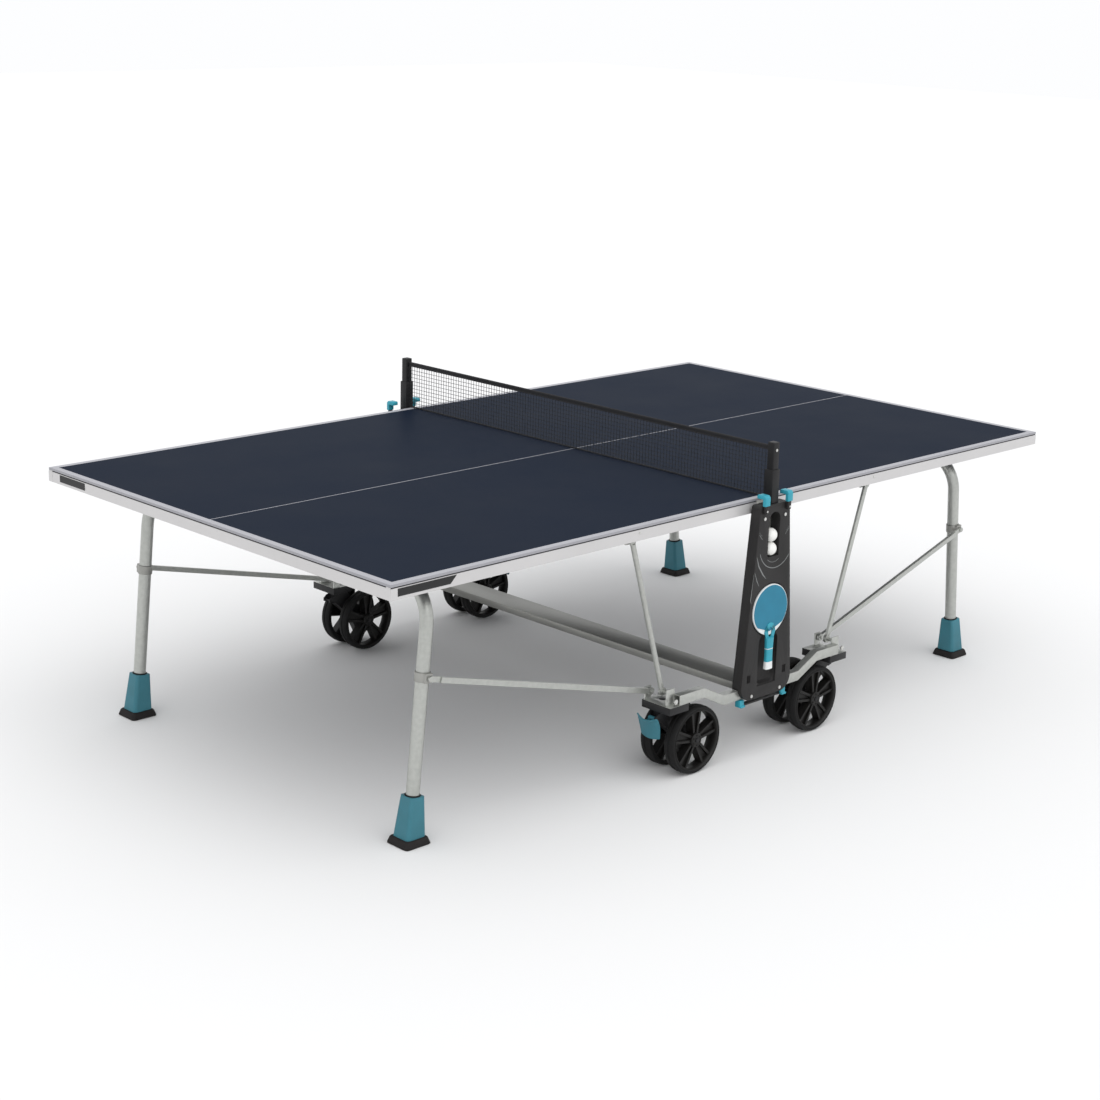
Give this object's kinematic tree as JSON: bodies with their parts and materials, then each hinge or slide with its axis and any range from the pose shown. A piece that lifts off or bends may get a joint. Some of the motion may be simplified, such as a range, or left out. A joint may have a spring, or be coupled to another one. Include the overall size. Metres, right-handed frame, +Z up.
{
  "type": "ping pong table",
  "caption": "Folding table tennis table on a wheeled trolley, with a net, folding legs, storage pods, a bat and balls.",
  "frame": {"origin": "On the floor, at the centre of the table's footprint.", "axes": "X runs along the table, Y across it, Z up."},
  "size_m": [2.7408, 1.638, 0.9225],
  "materials": {
    "laminate": "satin slate-blue laminate",
    "line_white": "painted line",
    "apron_grey": "light grey coated steel",
    "galvanised": "galvanised steel tube",
    "black_metal": "black coated steel",
    "black_plastic": "black moulded plastic",
    "charcoal_plastic": "charcoal moulded plastic",
    "teal_plastic": "teal moulded plastic",
    "teal_bright": "bright teal moulded plastic",
    "pad_rubber": "black rubber",
    "wheel_black": "black wheel with a soft tread",
    "net_black": "black woven net",
    "ball_white": "white ball",
    "bat_teal": "teal bat",
    "bat_white": "white bat handle",
    "badge_dark": "blank plate"
  },
  "bodies": {
    "trolley": {"bow_near": "galvanised", "bow_far": "galvanised", "centre_beam": "galvanised", "caster_sockets": "black_metal", "upright_near": "galvanised", "upright_far": "galvanised", "pod_near": "charcoal_plastic", "pod_far": "charcoal_plastic", "pod_screws": "galvanised", "net_sleeves": "black_plastic"},
    "half_left": {"board_left": "laminate", "lines_left": "line_white", "aprons_left": "apron_grey", "rails_left": "galvanised", "bearings_left": "black_plastic", "badge_plates": "badge_dark"},
    "stays_left": {"stays_left": "galvanised"},
    "ties_left": {"ties_left": "galvanised"},
    "leg_left": {"leg_left": "galvanised", "leg_clamps_left": "black_metal"},
    "foot_near_left": {"cone_near_left": "teal_plastic", "pad_near_left": "pad_rubber"},
    "clip_near_left": {"clip_near_left": "teal_bright"},
    "fork_near_left": {"fork_near_left": "black_plastic"},
    "wheels_near_left": {"wheels_near_left": "wheel_black"},
    "foot_far_left": {"cone_far_left": "teal_plastic", "pad_far_left": "pad_rubber"},
    "clip_far_left": {"clip_far_left": "teal_bright"},
    "fork_far_left": {"fork_far_left": "black_plastic"},
    "wheels_far_left": {"wheels_far_left": "wheel_black"},
    "half_right": {"board_right": "laminate", "lines_right": "line_white", "aprons_right": "apron_grey", "rails_right": "galvanised", "bearings_right": "black_plastic"},
    "stays_right": {"stays_right": "galvanised"},
    "ties_right": {"ties_right": "galvanised"},
    "leg_right": {"leg_right": "galvanised", "leg_clamps_right": "black_metal"},
    "foot_near_right": {"cone_near_right": "teal_plastic", "pad_near_right": "pad_rubber"},
    "clip_near_right": {"clip_near_right": "teal_bright"},
    "fork_near_right": {"fork_near_right": "black_plastic"},
    "wheels_near_right": {"wheels_near_right": "wheel_black"},
    "foot_far_right": {"cone_far_right": "teal_plastic", "pad_far_right": "pad_rubber"},
    "clip_far_right": {"clip_far_right": "teal_bright"},
    "fork_far_right": {"fork_far_right": "black_plastic"},
    "wheels_far_right": {"wheels_far_right": "wheel_black"},
    "brake_near_left": {"brake_near_left": "teal_plastic"},
    "brake_far_right": {"brake_far_right": "teal_plastic"},
    "catch_near": {"catch_near": "teal_bright"},
    "catch_far": {"catch_far": "teal_bright"},
    "net": {"net_posts": "black_plastic", "net_mesh": "net_black", "net_tapes": "net_black"},
    "balls": {"balls": "ball_white"},
    "bat": {"bat_blade": "bat_teal", "bat_handle": "bat_white"}
  },
  "joints": [
    {"name": "stays_left_swing", "type": "hinge", "parent": "trolley", "child": "stays_left", "pos_m": [-0.364, 0, 0.256], "axis": [0, 1, 0], "range_deg": [0, 35.31]},
    {"name": "half_left_fold", "type": "hinge", "parent": "stays_left", "child": "half_left", "pos_m": [-0.508, 0, 0.714], "axis": [0, 1, 0], "range_deg": [0, 54.7]},
    {"name": "leg_left_fold", "type": "hinge", "parent": "half_left", "child": "leg_left", "pos_m": [-1.119, 0, 0.733], "axis": [0, 1, 0], "range_deg": [-80.01, 0]},
    {"name": "ties_left_swing", "type": "hinge", "parent": "trolley", "child": "ties_left", "pos_m": [-0.375, 0, 0.25], "axis": [0, 1, 0], "range_deg": [0, 83.41]},
    {"name": "foot_near_left_level", "type": "slide", "parent": "leg_left", "child": "foot_near_left", "axis": [0.0924, 0, 0.9957], "range_m": [0, 0.012]},
    {"name": "clip_near_left_turn", "type": "hinge", "parent": "trolley", "child": "clip_near_left", "pos_m": [-0.049, -0.8, 0.735], "axis": [0, -1, 0], "range_deg": [0, 25]},
    {"name": "caster_near_left_swivel", "type": "hinge", "parent": "trolley", "child": "fork_near_left", "pos_m": [-0.345, -0.722, 0.2], "axis": [0, 0, 1], "continuous": true},
    {"name": "wheels_near_left_roll", "type": "hinge", "parent": "fork_near_left", "child": "wheels_near_left", "pos_m": [-0.265, -0.722, 0.1], "axis": [0, 1, 0], "continuous": true},
    {"name": "foot_far_left_level", "type": "slide", "parent": "leg_left", "child": "foot_far_left", "axis": [0.0924, 0, 0.9957], "range_m": [0, 0.012]},
    {"name": "clip_far_left_turn", "type": "hinge", "parent": "trolley", "child": "clip_far_left", "pos_m": [-0.049, 0.8, 0.735], "axis": [0, -1, 0], "range_deg": [0, 25]},
    {"name": "caster_far_left_swivel", "type": "hinge", "parent": "trolley", "child": "fork_far_left", "pos_m": [-0.345, 0.722, 0.2], "axis": [0, 0, 1], "continuous": true},
    {"name": "wheels_far_left_roll", "type": "hinge", "parent": "fork_far_left", "child": "wheels_far_left", "pos_m": [-0.265, 0.722, 0.1], "axis": [0, 1, 0], "continuous": true},
    {"name": "stays_right_swing", "type": "hinge", "parent": "trolley", "child": "stays_right", "pos_m": [0.364, 0, 0.256], "axis": [0, -1, 0], "range_deg": [0, 35.31]},
    {"name": "half_right_fold", "type": "hinge", "parent": "stays_right", "child": "half_right", "pos_m": [0.508, 0, 0.714], "axis": [0, -1, 0], "range_deg": [0, 54.7]},
    {"name": "leg_right_fold", "type": "hinge", "parent": "half_right", "child": "leg_right", "pos_m": [1.119, 0, 0.733], "axis": [0, -1, 0], "range_deg": [-80.01, 0]},
    {"name": "ties_right_swing", "type": "hinge", "parent": "trolley", "child": "ties_right", "pos_m": [0.375, 0, 0.25], "axis": [0, -1, 0], "range_deg": [0, 83.41]},
    {"name": "foot_near_right_level", "type": "slide", "parent": "leg_right", "child": "foot_near_right", "axis": [-0.0924, 0, 0.9957], "range_m": [0, 0.012]},
    {"name": "clip_near_right_turn", "type": "hinge", "parent": "trolley", "child": "clip_near_right", "pos_m": [0.049, -0.8, 0.735], "axis": [0, 1, 0], "range_deg": [0, 25]},
    {"name": "caster_near_right_swivel", "type": "hinge", "parent": "trolley", "child": "fork_near_right", "pos_m": [0.345, -0.722, 0.2], "axis": [0, 0, 1], "continuous": true},
    {"name": "wheels_near_right_roll", "type": "hinge", "parent": "fork_near_right", "child": "wheels_near_right", "pos_m": [0.265, -0.722, 0.1], "axis": [0, 1, 0], "continuous": true},
    {"name": "foot_far_right_level", "type": "slide", "parent": "leg_right", "child": "foot_far_right", "axis": [-0.0924, 0, 0.9957], "range_m": [0, 0.012]},
    {"name": "clip_far_right_turn", "type": "hinge", "parent": "trolley", "child": "clip_far_right", "pos_m": [0.049, 0.8, 0.735], "axis": [0, 1, 0], "range_deg": [0, 25]},
    {"name": "caster_far_right_swivel", "type": "hinge", "parent": "trolley", "child": "fork_far_right", "pos_m": [0.345, 0.722, 0.2], "axis": [0, 0, 1], "continuous": true},
    {"name": "wheels_far_right_roll", "type": "hinge", "parent": "fork_far_right", "child": "wheels_far_right", "pos_m": [0.265, 0.722, 0.1], "axis": [0, 1, 0], "continuous": true},
    {"name": "brake_near_left_press", "type": "hinge", "parent": "fork_near_left", "child": "brake_near_left", "pos_m": [-0.384, -0.722, 0.177], "axis": [0, -1, 0], "range_deg": [0, 8]},
    {"name": "brake_far_right_press", "type": "hinge", "parent": "fork_far_right", "child": "brake_far_right", "pos_m": [0.384, 0.722, 0.177], "axis": [0, 1, 0], "range_deg": [0, 8]},
    {"name": "catch_near_pull", "type": "slide", "parent": "trolley", "child": "catch_near", "axis": [0, 0, -1], "range_m": [0, 0.006], "stiffness_N_per_m": 400, "springref_m": -0.006},
    {"name": "catch_far_pull", "type": "slide", "parent": "trolley", "child": "catch_far", "axis": [0, 0, -1], "range_m": [0, 0.006], "stiffness_N_per_m": 400, "springref_m": -0.006},
    {"name": "net_height", "type": "slide", "parent": "trolley", "child": "net", "axis": [0, 0, 1], "range_m": [0, 0.01]},
    {"name": "balls_out", "type": "slide", "parent": "trolley", "child": "balls", "axis": [0, -1, 0], "range_m": [0, 0.06]},
    {"name": "bat_out", "type": "slide", "parent": "trolley", "child": "bat", "axis": [0, -1, 0], "range_m": [0, 0.08]}
  ],
  "couplings": [
    {"joint": "stays_left_swing", "follows": "half_left_fold", "ratio": 0.64534},
    {"joint": "leg_left_fold", "follows": "half_left_fold", "ratio": -1.4625},
    {"joint": "ties_left_swing", "follows": "half_left_fold", "ratio": 1.5247},
    {"joint": "stays_right_swing", "follows": "half_right_fold", "ratio": 0.64534},
    {"joint": "leg_right_fold", "follows": "half_right_fold", "ratio": -1.4625},
    {"joint": "ties_right_swing", "follows": "half_right_fold", "ratio": 1.5247}
  ]
}
